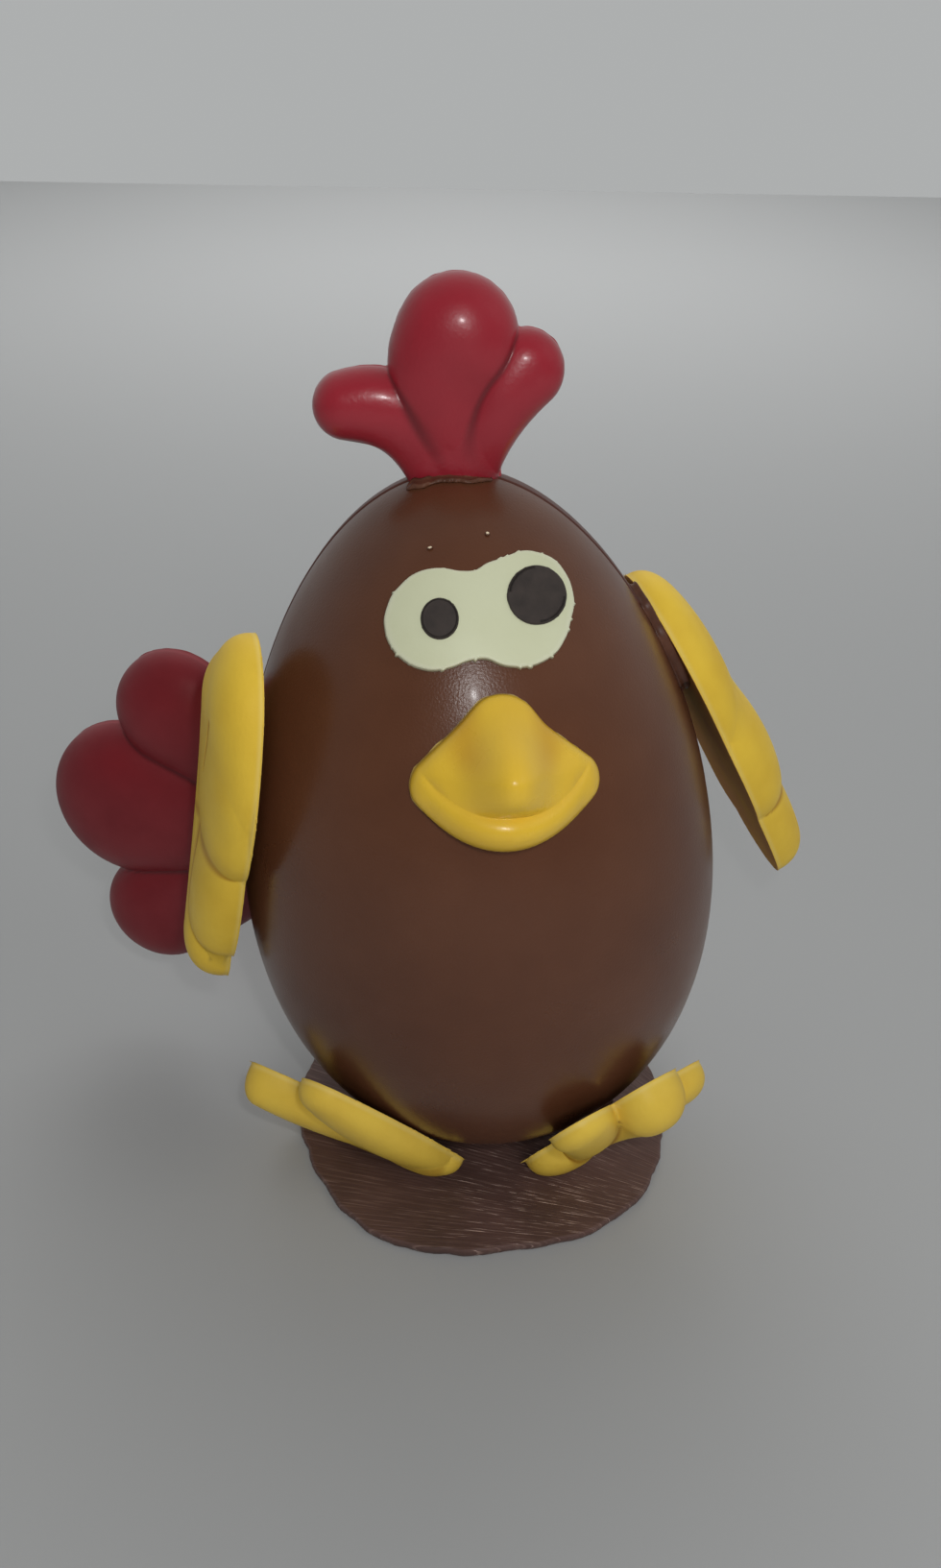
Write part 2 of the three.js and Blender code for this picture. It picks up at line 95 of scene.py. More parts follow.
def feed(node, inputs):
    """Fills a node's inputs, each with a plain value or with the output of another node."""
    for key, value in inputs.items():
        if isinstance(value, bpy.types.NodeSocket):
            node.id_data.links.new(value, node.inputs[key])
        else:
            node.inputs[key].default_value = value


def place(tree, kind, inputs=None, **settings):
    """Adds a node, sets it up and fills its inputs."""
    node = tree.nodes.new(kind)
    for key, value in settings.items():
        setattr(node, key, value)
    feed(node, inputs or {})
    return node


def here(tree):
    """Where each point of the surface is, in metres."""
    return place(tree, "ShaderNodeTexCoord").outputs["Object"]


def mottle(tree, at, fineness, detail, roughness=0.5):
    """Random value that changes smoothly from place to place."""
    given = {"Vector": at, "Scale": fineness, "Detail": detail, "Roughness": roughness}
    return place(tree, "ShaderNodeTexNoise", given).outputs["Fac"]


def stretch(tree, value, low, high, start=0.0, end=1.0):
    """A value that goes from low to high, made to go from start to end and held there."""
    given = {"Value": value, "From Min": low, "From Max": high, "To Min": start, "To Max": end}
    return place(tree, "ShaderNodeMapRange", given).outputs["Result"]


def calc(tree, operation, *values):
    """Result of a sum, or of another operation, on one to three values."""
    return place(tree, "ShaderNodeMath", dict(enumerate(values)), operation=operation).outputs[0]


def blend(tree, share, first, second):
    """Colour from the first to the second, by a share. The Mix node has its colours at sockets 6 and 7."""
    return place(tree, "ShaderNodeMix", {0: share, 6: first, 7: second}, data_type="RGBA").outputs[2]


def relief(tree, height, strength, depth, **under):
    """Surface normal of a fine relief, laid over another one if its Normal is given."""
    given = {"Height": height, "Strength": strength, "Distance": depth}
    return place(tree, "ShaderNodeBump", given | under).outputs["Normal"]


def srgb(red, green, blue):
    """Linear colour from the 0 to 255 values that a paint chart gives."""
    def linear(value):
        value /= 255
        return value / 12.92 if value < 0.04045 else ((value + 0.055) / 1.055) ** 2.4
    return linear(red), linear(green), linear(blue), 1.0


def finish(name):
    """A material with its Principled shader; returns the material, its tree and the shader."""
    material = bpy.data.materials.new(name)
    material.use_nodes = True
    tree = material.node_tree
    return material, tree, tree.nodes["Principled BSDF"]


# Cloudy tone that runs through set chocolate, between a light and a dark shade of it.
clouds, given, result = group(
    "cocoa clouds",
    [("Light", "Color", (1, 1, 1, 1)), ("Dark", "Color", (0, 0, 0, 1)), ("Fineness", "Float", 60.0)],
    [("Color", "Color"), ("Cloud", "Float")],
)
cloud = stretch(clouds, mottle(clouds, here(clouds), given.outputs["Fineness"], 4.0, 0.6), 0.3, 0.7)
feed(result, {
    "Color": blend(clouds, cloud, given.outputs["Dark"], given.outputs["Light"]),
    "Cloud": cloud,
})


def cocoa(tree, light, dark, fineness):
    """The cloudy tone as a node of a material."""
    given = {"Light": light, "Dark": dark, "Fineness": fineness}
    return place(tree, "ShaderNodeGroup", given, node_tree=clouds)


# Scratches from a scraper that swung round a point beyond the disc: long thin streaks that fan out from it.
# Coarse ones cover the disc, fine ones and the painted glints of their raised edges lie mostly right of the
# middle.
# The places that shaders take are in metres.
scratches, given, result = group(
    "scraper marks",
    [("Coarse", "Float", 150.0), ("Fine", "Float", 300.0)],
    [("Scratch", "Float"), ("Painted glint", "Float"), ("Grain", "Float")],
)
where = here(scratches)
away = place(scratches, "ShaderNodeVectorMath", {0: SCRAPER_PIVOT, 1: where}, operation="SUBTRACT").outputs[0]
apart = place(scratches, "ShaderNodeSeparateXYZ", {0: away})
angle = calc(scratches, "ARCTAN2", apart.outputs["Y"], apart.outputs["X"])
reach = place(scratches, "ShaderNodeVectorMath", {0: away}, operation="LENGTH").outputs["Value"]


def streaks(across_fineness, along_fineness):
    """Noise drawn out along the scraper's swing, with its fineness across the swing and along it."""
    across = calc(scratches, "MULTIPLY", angle, given.outputs[across_fineness])
    along = calc(scratches, "MULTIPLY", reach, along_fineness)
    at = place(scratches, "ShaderNodeCombineXYZ", {"X": along, "Y": across}).outputs[0]
    return mottle(scratches, at, 1.0, 2.0)


coarse = streaks("Coarse", 30.0)
wide_marks = calc(scratches, "MULTIPLY", stretch(scratches, coarse, 0.52, 0.72), 0.32)
fine_marks = stretch(scratches, streaks("Fine", 70.0), 0.56, 0.68)
spark = stretch(scratches, streaks("Fine", 200.0), 0.52, 0.6)
off = place(scratches, "ShaderNodeVectorMath", {0: where, 1: GLINT_SPOT}, operation="DISTANCE")
near_glint_spot = stretch(scratches, off.outputs["Value"], 0.036, 0.008)
sharp = calc(scratches, "MULTIPLY", fine_marks, spark)
feed(result, {
    "Scratch": calc(scratches, "MAXIMUM", wide_marks, fine_marks),
    "Painted glint": calc(scratches, "MULTIPLY", sharp, near_glint_spot),
    "Grain": coarse,
})

scraped, tree, shader = finish("scraped_milk_chocolate")
tone = cocoa(tree, srgb(99, 73, 67), srgb(78, 57, 52), 45.0)
marks = place(tree, "ShaderNodeGroup", node_tree=scratches)
some = calc(tree, "MULTIPLY", marks.outputs["Scratch"], 0.3)
pale = blend(tree, some, tone.outputs["Color"], srgb(172, 142, 130))
# Painted glints: the fine scratches' raised edges are coloured near white where the glint mask is high.
feed(shader, {
    "Base Color": blend(tree, marks.outputs["Painted glint"], pale, srgb(245, 215, 200)),
    "Roughness": stretch(tree, marks.outputs["Grain"], 0.3, 0.7, 0.62, 0.45),
    "Normal": relief(tree, marks.outputs["Grain"], 0.5, 0.0003),
})

turns = np.linspace(0, 2 * math.pi, 360, endpoint=False)


def circle(reach):
    """A ring of points round the disc's centre, at a reach that may change from point to point."""
    return np.stack([reach * np.cos(turns), reach * np.sin(turns), 0 * turns], -1)


edge = DISC_RADIUS + sum(high * np.cos(n * turns - math.radians(phase)) for n, high, phase in DISC_WAVES)
rim_path = circle(edge)
edge = edge - 0.5 + 0.8 * uneven(rim_path, 7, 1) + 0.25 * uneven(rim_path, 1.8, 2)
rings = []
for part in np.sin(np.linspace(0.02, math.pi / 2, 40)):
    face = circle(part * (edge - DISC_BEVEL))
    face[:, 2] = DISC_THICKNESS + 0.14 * uneven(face, 14, 3) - 0.1
    rings.append(face)
for inset, height in ((0.35, -0.12), (0.08, -0.45), (0.0, -0.95), (0.12, -1.6), (0.4, -2.3), (0.6, -2.5)):
    side = circle(edge - inset)
    side[:, 2] = DISC_THICKNESS + height + (0.25 * uneven(side, 4, 4) if height > -2 else 0)
    rings.append(side)
disc = ring_mesh("poured_disc", np.array(rings), [0, 0, DISC_THICKNESS - 0.1], [0, 0, 0])
disc.data.materials.append(scraped)
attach(disc, "root")
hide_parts("base_disc")

# ---------------------------------------------------------------- Egg
# A big moulded egg of tempered milk chocolate: two half shells, front and back, melted together along a seam
# that runs over both ends. It leans a little and is melted flat where it stands on the disc.

EGG_HEIGHT = 180
EGG_GIRTH = 58.9
EGG_TAPER = 0.306
EGG_FULLNESS = 0.045
EGG_LEAN = math.radians(-4.8)
EGG_FOOT = np.array([4.4, 7.2, 2.0])
STANDING = DISC_THICKNESS + 0.05
GROOVE_DEEP = 0.38
GROOVE_WIDE = 0.28
LIP_HIGH = 0.1
LIP_WIDE = 0.4
LIP_AT = 0.75
FRONT_LOWER = 0.12
DULL_BAND_WIDE = 14

lean = np.array([
    [math.cos(EGG_LEAN), 0, math.sin(EGG_LEAN)],
    [0, 1, 0],
    [-math.sin(EGG_LEAN), 0, math.cos(EGG_LEAN)],
])


def egg_radius(level):
    """Half the egg's width at a level from -1, the blunt end, to 1."""
    shape = (1 - level ** 2) / (1 + EGG_TAPER * level + EGG_FULLNESS * level ** 2)
    return EGG_GIRTH * np.sqrt(np.maximum(shape, 0))


def egg_surface(level, turn, proud=0.0):
    """Points on the egg at a level from -1, the blunt end, to 1, moved out from it by proud."""
    near = 1e-4
    slope = (egg_radius(level + near) - egg_radius(level - near)) / (EGG_HEIGHT * near)
    tilt = np.sqrt(1 + slope ** 2)
    radius = egg_radius(level) + proud / tilt
    height = EGG_HEIGHT / 2 * (level + 1) - proud * slope / tilt
    local = np.stack([radius * np.cos(turn), radius * np.sin(turn), height], -1)
    return local @ lean.T + EGG_FOOT


# The skin's points lie a degree apart round the egg, and closer beside the seam. The rear shell stands a
# little proud of the front one, with a lip beside the groove between them, and beside the groove a band of
# its skin is rougher and a darker red-brown.
levels = -np.cos(np.linspace(0.012, math.pi - 0.012, 220))
close = np.radians([0.0, 0.2, 0.4, 0.62, 0.85, 1.2, 1.6])
half = np.concatenate([close[:-1], np.radians(np.arange(2, 179, 1.0)), math.pi - close[:0:-1]])
level, turn = np.meshgrid(levels, np.concatenate([half, half + math.pi]), indexing="ij")
from_seam = egg_radius(level) * np.sin(turn)
groove = np.exp(-(from_seam / GROOVE_WIDE) ** 2)
lip = np.exp(-((from_seam - LIP_AT) / LIP_WIDE) ** 2)
proud = LIP_HIGH * lip - GROOVE_DEEP * groove - FRONT_LOWER * (from_seam < -0.05)
rings = egg_surface(level, turn, proud)
rings[..., 2] = np.maximum(rings[..., 2], STANDING)
rings = rings[::-1]
ends = egg_surface(np.array([1 - 1e-6, -1 + 1e-6]), np.zeros(2))
ends[1] = [EGG_FOOT[0], EGG_FOOT[1], STANDING]
rubbed = np.clip(from_seam / 0.3, 0, 1) * np.exp(-(from_seam / DULL_BAND_WIDE) ** 2)
egg = ring_mesh("egg_shell", rings, ends[0], ends[1], seam=groove[::-1], rubbed=rubbed[::-1])


def painted(tree, mask):
    """A mask that the mesh carries."""
    return place(tree, "ShaderNodeAttribute", attribute_name=mask).outputs["Fac"]


glossy, tree, shader = finish("glossy_milk_chocolate")
tone = cocoa(tree, srgb(102, 63, 42), srgb(85, 49, 31), 16.0)
# Painted shade: the narrow groove along the seam is coloured darker.
shade = calc(tree, "MULTIPLY", painted(tree, "seam"), 0.6)
darker = blend(tree, shade, tone.outputs["Color"], srgb(38, 22, 17))
# A band of the rear shell beside the seam is rougher and a darker red-brown.
in_dull_band = painted(tree, "rubbed")
where = here(tree)
film = stretch(tree, mottle(tree, where, 45.0, 5.0), 0.3, 0.7, 0.26, 0.38)
fine = relief(tree, mottle(tree, where, 1900.0, 1.0), 0.5, 0.0001)
feed(shader, {
    "Base Color": blend(tree, in_dull_band, darker, srgb(82, 46, 38)),
    "Roughness": calc(tree, "MULTIPLY_ADD", in_dull_band, 0.2, film),
    "Normal": relief(tree, mottle(tree, where, 30.0, 1.0), 0.25, 0.0006, Normal=fine),
    "IOR": 1.5,
    "Coat Weight": 0.04,
    "Coat Roughness": 0.1,
})
egg.data.materials.append(glossy)
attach(egg, "root")
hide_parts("egg")

# Two air bubbles above the eyes, each a tiny raised blister with a painted highlight that makes it pale in
# the middle.
BLISTERS = [
    ("egg_blister_right", np.array([-2.0, -12.4, 174.15]), 0.6, 3.0),
    ("egg_blister_left", np.array([-13.8, -15.3, 171.85]), 0.55, 5.0),
]
BLISTER_PROFILE = np.array([
    (0.2, 0.5), (0.4, 0.46), (0.62, 0.38), (0.82, 0.25), (0.96, 0.06), (1.05, -0.15), (0.6, -0.25),
])
BLISTER_PAINTED_GLINT = np.array([1.0, 1.0, 0.5, 0.0, 0.0, 0.0, 0.0])
# Painted highlight: brown chocolate coloured near white in the blister's middle.
blister, tree, shader = finish("blister_painted_glint")
feed(shader, {
    "Base Color": blend(tree, painted(tree, "shine"), srgb(84, 50, 33), srgb(255, 240, 205)),
    "Roughness": 0.2,
})
for name, at, radius, turned in BLISTERS:
    out = (at - EGG_FOOT) - lean @ [0, 0, 0.52 * EGG_HEIGHT]
    out /= np.linalg.norm(out)
    side = np.cross([0, 0, 1.0], out)
    side /= np.linalg.norm(side)
    turns = np.linspace(0, 2 * math.pi, 28, endpoint=False)
    way = np.cos(turns)[:, None] * side + np.sin(turns)[:, None] * np.cross(out, side)
    reach = (radius * (1 + 0.15 * np.cos(2 * turns + turned)))[:, None]
    rings = np.array([at + part * reach * way + high * radius * out for part, high in BLISTER_PROFILE])
    glint_rows = np.repeat(BLISTER_PAINTED_GLINT[:, None], len(turns), axis=1)
    bubble = ring_mesh(name, rings, at + 0.52 * radius * out, at - 0.25 * radius * out, shine=glint_rows)
    bubble.data.materials.append(blister)
    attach(bubble, "root")
    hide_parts("egg")

# ---------------------------------------------------------------- Feet
# Two small feet cast flat in an open mould, a heel with three round toes each, in yellow chocolate. They lean
# with their flat backs against the egg, stand on their heels and are stuck on with melted chocolate.

# Section of a mound and of a domed front: at 2 it would be an ellipse, and it is squarer above that.
BULGE = 2.3
DOME_BULGE = 3.6
RIM = 1.2
LEFT_TOES = [
    dict(spine=[(0.5, -0.3), (3.4, -0.1), (6.3, 0)], wide=(6.6, 8.0, 7.1), high=(5.2, 6.6, 6.4)),
    dict(spine=[(2.3, -1.9), (15.4, -14.1), (30.7, -29.7)], wide=(6.3, 10.8, 7.4), high=(5.4, 7.7, 5.7),
         soft=1.2),
    dict(spine=[(3, 0), (28.1, -3.9), (48, -10.5)], wide=(7.4, 9.5, 6.1), high=(3.5, 7.8, 8.6)),
    dict(spine=[(4.1, -2), (20.5, 5.9), (38.3, 11.6)], wide=(7.5, 8.4, 8.9), high=(6.6, 7.0, 6.5)),
]
RIGHT_TOES = [
    dict(spine=[(1.2, -0.1), (3.1, -0.5), (5, -0.9)], wide=(7.5, 9.2, 6.0), high=(5.3, 7.0, 7.2)),
    dict(spine=[(5.3, -2.6), (13.8, 16.6), (9.7, 31.9)], wide=(3.7, 7.6, 8.4), high=(5.2, 7.1, 5.1)),
    dict(spine=[(3, -1.3), (18.2, 10.8), (27.1, 27.2)], wide=(7.5, 6.3, 9.6), high=(6.0, 6.9, 10.6)),
    dict(spine=[(3.1, -0.8), (18.8, 1.2), (37.1, 4.8)], wide=(7.0, 8.6, 8.7), high=(5.0, 6.2, 7.2)),
]


def frame_of(at, azimuth, elevation, turn=0.0):
    """Origin and three axes of a piece whose flat back lies at a point and whose round side faces a way."""
    a, e, t = (math.radians(angle) for angle in (azimuth, elevation, turn))
    out = np.array([math.cos(e) * math.cos(a), math.cos(e) * math.sin(a), math.sin(e)])
    up = np.array([-math.sin(e) * math.cos(a), -math.sin(e) * math.sin(a), math.cos(e)])
    side = np.cross(up, out)
    across = math.cos(t) * side + math.sin(t) * up
    return np.array(at, float), across, np.cross(out, across), out


def set_at(points, seat):
    """Points of a piece's own frame, moved to where the piece sits."""
    at, across, up, out = seat
    return at + points[..., 0:1] * across + points[..., 1:2] * up + points[..., 2:3] * out


def raised(flat, height):
    """Points of a plan lifted to a height, as one or more rings."""
    points = np.concatenate([flat, np.broadcast_to(height, flat.shape[:-1])[..., None]], -1)
    return points.reshape(-1, *points.shape[-2:])


def through(ends, t):
    """Value that goes through three given ones from start to end."""
    a, b, c = ends
    return (2 * a - 4 * b + 2 * c) * t * t + (4 * b - 3 * a - c) * t + a


def mound(lobe, x, y):
    """Height of one lobe, a mound along a bent spine, and how far outside of it a point is."""
    best = np.full(np.shape(x), -np.inf)
    (ax, ay), (bx, by), (cx, cy) = lobe["spine"]
    for t in np.linspace(0, 1, 33):
        s = 1 - t
        sx = s * s * ax + 2 * s * t * bx + t * t * cx
        sy = s * s * ay + 2 * s * t * by + t * t * cy
        wide = through(lobe["wide"], t)
        reach = np.hypot(x - sx, y - sy) / wide
        dome = through(lobe["high"], t) * (1 - np.minimum(reach, 1) ** BULGE) ** (1 / BULGE)
        best = np.maximum(best, np.where(reach < 1, dome, (1 - reach) * wide))
    return best


def join(a, b, crease):
    """Two heights joined with a soft crease."""
    apart = np.abs(a - b)
    return np.maximum(a, b) + np.where(apart < crease, (crease - apart) ** 2 / (4 * crease), 0)


def lobed(lobes, neck, fade, crease):
    """Height of a piece made of lobes, and how deep in a crease each point is, which also sets its painted
    crease shade.

    The creases are as wide as the second of the two widths at the neck, and as the first away from it.
    """
    def height(x, y):
        near = np.exp(-((x - neck[0]) ** 2 + (y - neck[1]) ** 2) / fade ** 2)
        whole, fold = mound(lobes[0], x, y), 0.0
        for lobe in lobes[1:]:
            one = mound(lobe, x, y)
            soft = lobe.get("soft", crease[0] + (crease[1] - crease[0]) * near)
            close = np.exp(-((whole - one) / 1.1) ** 2) * (np.minimum(whole, one) > 0.3) * (1 - 0.9 * near)
            fold = np.maximum(fold, close if "soft" not in lobe else 0.0)
            whole = join(whole, one, soft)
        return whole, fold
    return height


def outline_of(height, centre, turns):
    """How far the piece reaches from its centre each way."""
    step = np.arange(0, 110, 0.5)[:, None]
    inside = height(centre[0] + step * np.cos(turns), centre[1] + step * np.sin(turns))[0] > 0
    low = 0.5 * (np.argmin(inside, axis=0) - 1.0)
    high = low + 0.5
    for _ in range(14):
        middle = (low + high) / 2
        within = height(centre[0] + middle * np.cos(turns), centre[1] + middle * np.sin(turns))[0] > 0
        low, high = np.where(within, middle, low), np.where(within, high, middle)
    return low


def cast(name, seat, height, centre, seed, spokes=480, rows=90, rim=RIM, flash=0.15, burrs=0.0,
         edge_highlight=0.8, ground=None, dome=None):
    """A piece cast in an open mould: round in front, a straight rim, a thin ragged flash round its flat back.

    A dome gives another front inside the same outline, and a ground what the flat back is bent to.
    """
    turns = np.linspace(0, 2 * math.pi, spokes, endpoint=False)
    reach = outline_of(height, centre, turns)
    way = np.stack([np.cos(turns), np.sin(turns)], -1)
    centre = np.array(centre, float)
    lie = ground or (lambda flat: 0 * flat[..., 0])
    parts = np.sin(np.linspace(0, math.pi / 2, rows + 1))[1:]
    flat = centre + parts[:, None, None] * reach[:, None] * way
    bulk, fold = (dome or height)(flat[..., 0], flat[..., 1])
    if dome:
        bulk = bulk * (1 - parts[:, None] ** DOME_BULGE) ** (1 / DOME_BULGE)
    bulk[-1] = 0
    rings, masks = [], []

    def add(ring, *values):
        rings.append(ring)
        masks.append([np.broadcast_to(value, ring.shape[:2]) for value in values])

    bulk = np.maximum(bulk, 0)
    # Where the front runs low near the outline it gets the painted rim highlight.
    add(raised(flat, rim + bulk + lie(flat)), fold, np.clip(1 - bulk / 0.8, 0, 1), 0)
    edge = raised(centre + reach[:, None] * way, 0)[0]
    crumbs = np.clip(uneven(edge, 0.9, seed + 1) * 4 - 1.1, 0, 1)
    burr = flash * (0.4 + np.clip(uneven(edge, 2.2, seed), -0.4, 0.8)) + burrs * crumbs
    # Down the rim, round the flash and in over the back: how far out, how high, how strong the painted rim
    # highlight is, and whether behind.
    for grow, high, pale, behind in ((0.0, 0.5 * rim, 0.6, 0), (0.15, 0.18, 0, 0), (1.0, 0.06, edge_highlight, 0),
                                     (1.0, -0.02, edge_highlight, 1), (-1.2, 0.0, 0, 1), (-4.0, 0.0, 0, 1)):
        out = centre + (reach + (burr * grow if grow > 0 else grow))[:, None] * way
        add(raised(out, high + lie(out)), 0, pale, behind)
    for part in (0.88, 0.74, 0.6, 0.45, 0.3, 0.15):
        inner = centre + part * np.maximum(reach - 4, 1)[:, None] * way
        hollow = 0.05 * uneven(raised(inner, 0)[0], 14, seed + 2)
        add(raised(inner, lie(inner) + hollow), 0, 0, 1)
    top, _ = (dome or height)(centre[:1], centre[1:])
    back = lie(centre[None])[0]
    ends = [set_at(np.append(centre, high), seat) for high in (rim + top[0] + back, back)]
    folds, rim_highlights, backs = (np.vstack(mask) for mask in zip(*masks))
    return ring_mesh(name, set_at(np.vstack(rings), seat), *ends, fold=folds, rim=rim_highlights, back=backs)


# Coloured chocolate out of a mould: painted shade makes it deeper in the creases, a painted highlight makes
# it paler on the thin rim, it has a soft cloudy sheen, and the flat back is smeared with the brown chocolate
# that holds it, a brown that is in part painted shade.
coloured, given, result = group(
    "coloured chocolate",
    [("Colour", "Color", (1, 1, 1, 1)), ("Deep", "Color", (0, 0, 0, 1)), ("Rim highlight colour", "Color", (1, 1, 1, 1)),
     ("Smear and shade", "Color", (0, 0, 0, 1)), ("Crease shade", "Float", 0.0), ("Rim highlight", "Float", 0.0), ("Back", "Float", 0.0),
     ("Patchiness", "Float", 0.5)],
    [("Color", "Color"), ("Cloud", "Float"), ("Grain", "Float")],
)
where = here(coloured)
cloud = stretch(coloured, mottle(coloured, where, 70.0, 4.0), 0.35, 0.75)
patches = calc(coloured, "MULTIPLY", cloud, given.outputs["Patchiness"])
# Painted crease shade: the deep colour goes where the crease mask is high, and also into random patches of
# tone.
patch_and_crease_shade_share = calc(coloured, "MAXIMUM", given.outputs["Crease shade"], patches)
patched_and_crease_shaded = blend(coloured, patch_and_crease_shade_share, given.outputs["Colour"], given.outputs["Deep"])
# Painted highlight: paler colour along the thin rim and flash, by the rim mask.
rim_highlight_share = calc(coloured, "MULTIPLY", given.outputs["Rim highlight"], 0.4)
rim_highlighted = blend(coloured, rim_highlight_share, patched_and_crease_shaded, given.outputs["Rim highlight colour"])
smear = stretch(coloured, mottle(coloured, where, 60.0, 5.0), 0.3, 0.62, 0.7)
# The back goes to the smear's colour. It is real chocolate, and it also stands in as painted shade.
smear_and_shade_share = calc(coloured, "MULTIPLY", given.outputs["Back"], smear)
feed(result, {
    "Color": blend(coloured, smear_and_shade_share, rim_highlighted, given.outputs["Smear and shade"]),
    "Cloud": cloud,
    "Grain": mottle(coloured, where, 1100.0, 3.0),
})


def moulded_chocolate(name, colour, deep, pale, smear_and_shade, smooth, dull, patchiness, grain, coat=0.0, gleam=0.5):
    """Coloured chocolate, with a roughness from smooth to dull in patches and a rougher back."""
    material, tree, shader = finish(name)
    back = painted(tree, "back")
    body = place(tree, "ShaderNodeGroup", {
        "Colour": colour, "Deep": deep, "Rim highlight colour": pale, "Smear and shade": smear_and_shade, "Patchiness": patchiness,
        "Crease shade": painted(tree, "fold"), "Rim highlight": painted(tree, "rim"), "Back": back,
    }, node_tree=coloured)
    rough = stretch(tree, body.outputs["Cloud"], 0.0, 1.0, smooth, dull)
    feed(shader, {
        "Base Color": body.outputs["Color"],
        "Roughness": calc(tree, "MULTIPLY_ADD", back, 0.5, rough),
        "Normal": relief(tree, body.outputs["Grain"], grain, 0.0002),
        "Specular IOR Level": gleam,
        "Coat Weight": coat,
        "Coat Roughness": 0.15,
    })
    return material


# The feet's smear is a darker brown than the wings', in part painted shade on their flat backs.
yellow_matt = moulded_chocolate(
    "yellow_chocolate_matt", colour=srgb(236, 200, 78), deep=srgb(176, 126, 32), pale=srgb(240, 218, 136),
    smear_and_shade=srgb(124, 82, 40), smooth=0.42, dull=0.55, patchiness=0.25, grain=0.25, gleam=0.35)

melted, tree, shader = finish("melted_milk_chocolate")
tone = cocoa(tree, srgb(104, 66, 48), srgb(66, 38, 28), 160.0)
feed(shader, {
    "Base Color": tone.outputs["Color"],
    "Roughness": stretch(tree, tone.outputs["Cloud"], 0.0, 1.0, 0.32, 0.5),
    "Normal": relief(tree, tone.outputs["Cloud"], 0.15, 0.0002),
})


def egg_depth(points):
    """How far outside the egg each point is, measured away from its axis."""
    local = (points - EGG_FOOT) @ lean
    level = np.clip(2 * local[..., 2] / EGG_HEIGHT - 1, -1, 1)
    return np.hypot(local[..., 0], local[..., 1]) - egg_radius(level)


def egg_under(seat):
    """Height of the egg's skin in a piece's own frame, from 14 mm below its flat back to 6 mm above it."""
    def lie(flat):
        low = np.full(flat.shape[:-1], -14.0)
        high = np.full(flat.shape[:-1], 6.0)
        for _ in range(30):
            middle = (low + high) / 2
            outside = egg_depth(set_at(np.concatenate([flat, middle[..., None]], -1), seat)) > 0
            low, high = np.where(outside, low, middle), np.where(outside, middle, high)
        return (low + high) / 2
    return lie


def glue(name, seat, at, size, turn, seed, node):
    """Melted chocolate squeezed out between the egg and a piece's flat back."""
    turns = np.linspace(0, 2 * math.pi, 120, endpoint=False)
    c, s = math.cos(math.radians(turn)), math.sin(math.radians(turn))
    oval = np.stack([size[0] * np.cos(turns), size[1] * np.sin(turns)], -1)
    path = np.stack([at[0] + c * oval[:, 0] - s * oval[:, 1], at[1] + s * oval[:, 0] + c * oval[:, 1]], -1)
    spread = 1 + 0.22 * uneven(raised(path, 0)[0], 5, seed)
    lie = egg_under(seat)
    rings = []
    for part, share in ((0.4, 0), (0.8, 0), (0.97, 0.02), (1.0, 0.2), (0.97, 0.5), (0.99, 0.8), (1.03, 1.0)):
        flat = np.array(at) + part * spread[:, None] * (path - np.array(at))
        rings.append(raised(flat, -0.05 + share * (lie(flat) - 0.05)))
    heights = -0.05, float(lie(np.array([at]))[0]) - 0.1
    ends = [set_at(np.array([at[0], at[1], high]), seat) for high in heights]
    dab = ring_mesh(name, set_at(np.vstack(rings), seat), *ends)
    dab.data.materials.append(melted)
    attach(dab, "root")
    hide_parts(node)


# For each foot: its toes, its seat, how far the neck's wide creases reach, a seed, where the melted chocolate
# is and how that is turned.
FEET = [
    ("left", LEFT_TOES, frame_of((-10.3, -25.7, 10.4), -117.1, -35.7, 160.7), 12, 11, (11.9, -13), -45),
    ("right", RIGHT_TOES, frame_of((17.4, -24.4, 10.4), -54.4, -33.3, 27.0), 4, 17, (12.5, 13), 40),
]
for side, toes, seat, fade, seed, touch, turn in FEET:
    foot = lobed(toes, neck=(8, 0), fade=fade, crease=(1.6, 2.5))
    yellow_foot = cast("yellow_foot_" + side, seat, foot, (6, 0), seed, spokes=440, rows=80,
                       rim=0.8, flash=0.25, burrs=1.3)
    for vertex in yellow_foot.data.vertices:
        vertex.co.z = max(vertex.co.z, STANDING * MM)
    yellow_foot.data.materials.append(yellow_matt)
    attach(yellow_foot, "root")
    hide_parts("foot_" + side)
    glue("foot_glue_" + side, seat, touch, (8, 6), turn, 3, "glue_foot_" + side)

# ---------------------------------------------------------------- Wings
# Two cast wings of the same yellow chocolate: one plump feather with a waist, a round tip feather below it
# and a slim one beside them. Their flat backs stand off the egg on a long dab of melted chocolate.

